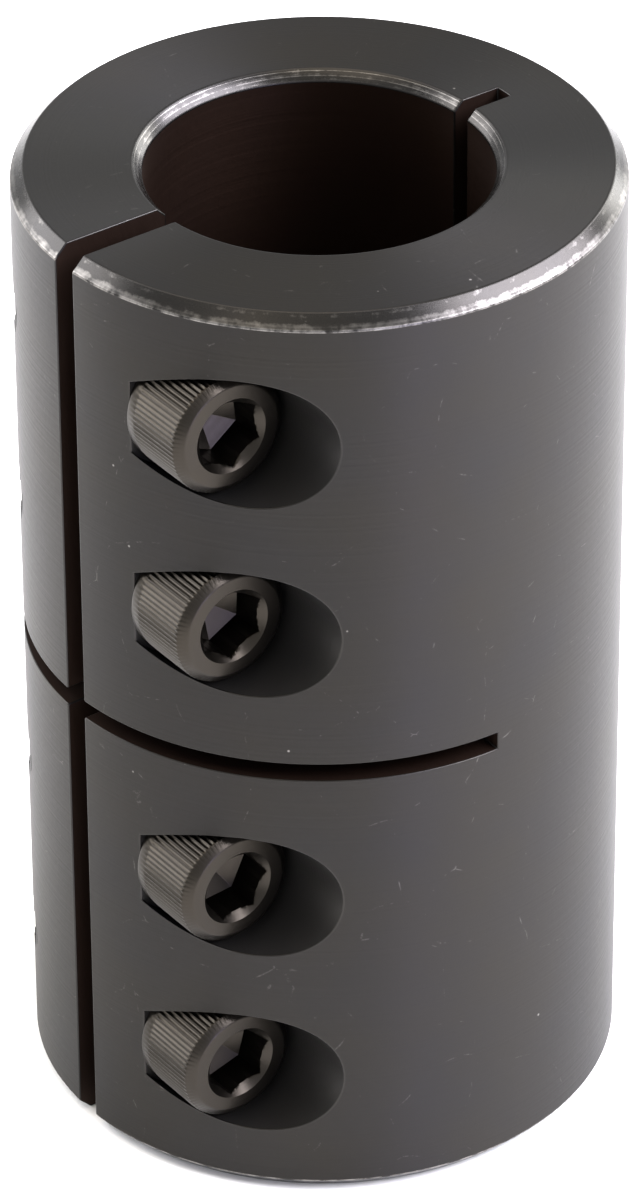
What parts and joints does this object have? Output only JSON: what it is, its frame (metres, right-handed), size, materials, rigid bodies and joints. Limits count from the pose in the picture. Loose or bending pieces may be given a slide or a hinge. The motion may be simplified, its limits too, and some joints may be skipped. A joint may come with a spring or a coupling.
{
  "type": "rigid clamping shaft coupling",
  "caption": "One-piece rigid coupling that clamps two round shafts end to end in a slit bore, with recessed socket head clamp screws.",
  "frame": {"origin": "on the bore's axis at mid-length, in the plane of the cross slit", "axes": "+Z along the bore, the clamping slit on the -Y side, the screw heads facing +X"},
  "size_m": [0.0444, 0.0444, 0.0762],
  "materials": {
    "body_black_oxide": "turned, black oxide, lightly oiled satin",
    "screw_black_oxide": "cold headed and knurled, black oxide",
    "patch_nylon": "fused nylon"
  },
  "bodies": {
    "coupling": {"coupling_body": "body_black_oxide"},
    "patch_1": {"locking_patch_1": "patch_nylon"},
    "screw_1": {"clamp_screw_1": "screw_black_oxide"},
    "patch_2": {"locking_patch_2": "patch_nylon"},
    "screw_2": {"clamp_screw_2": "screw_black_oxide"},
    "patch_3": {"locking_patch_3": "patch_nylon"},
    "screw_3": {"clamp_screw_3": "screw_black_oxide"},
    "patch_4": {"locking_patch_4": "patch_nylon"},
    "screw_4": {"clamp_screw_4": "screw_black_oxide"}
  },
  "joints": [
    {"name": "screw_1_advance", "type": "slide", "parent": "coupling", "child": "patch_1", "axis": [1, 0, 0], "range_m": [0, 0.00794]},
    {"name": "screw_1_turn", "type": "hinge", "parent": "patch_1", "child": "screw_1", "pos_m": [0, -0.01698, 0.02745], "axis": [1, 0, 0], "range_deg": [0, 3150]},
    {"name": "screw_2_advance", "type": "slide", "parent": "coupling", "child": "patch_2", "axis": [1, 0, 0], "range_m": [0, 0.00794]},
    {"name": "screw_2_turn", "type": "hinge", "parent": "patch_2", "child": "screw_2", "pos_m": [0, -0.01698, 0.01145], "axis": [1, 0, 0], "range_deg": [0, 3150]},
    {"name": "screw_3_advance", "type": "slide", "parent": "coupling", "child": "patch_3", "axis": [1, 0, 0], "range_m": [0, 0.00794]},
    {"name": "screw_3_turn", "type": "hinge", "parent": "patch_3", "child": "screw_3", "pos_m": [0, -0.01698, -0.01145], "axis": [1, 0, 0], "range_deg": [0, 3150]},
    {"name": "screw_4_advance", "type": "slide", "parent": "coupling", "child": "patch_4", "axis": [1, 0, 0], "range_m": [0, 0.00794]},
    {"name": "screw_4_turn", "type": "hinge", "parent": "patch_4", "child": "screw_4", "pos_m": [0, -0.01698, -0.02745], "axis": [1, 0, 0], "range_deg": [0, 3150]}
  ],
  "couplings": [
    {"joint": "screw_1_turn", "follows": "screw_1_advance", "rad_per_m": 6926.3},
    {"joint": "screw_2_turn", "follows": "screw_2_advance", "rad_per_m": 6926.3},
    {"joint": "screw_3_turn", "follows": "screw_3_advance", "rad_per_m": 6926.3},
    {"joint": "screw_4_turn", "follows": "screw_4_advance", "rad_per_m": 6926.3}
  ]
}
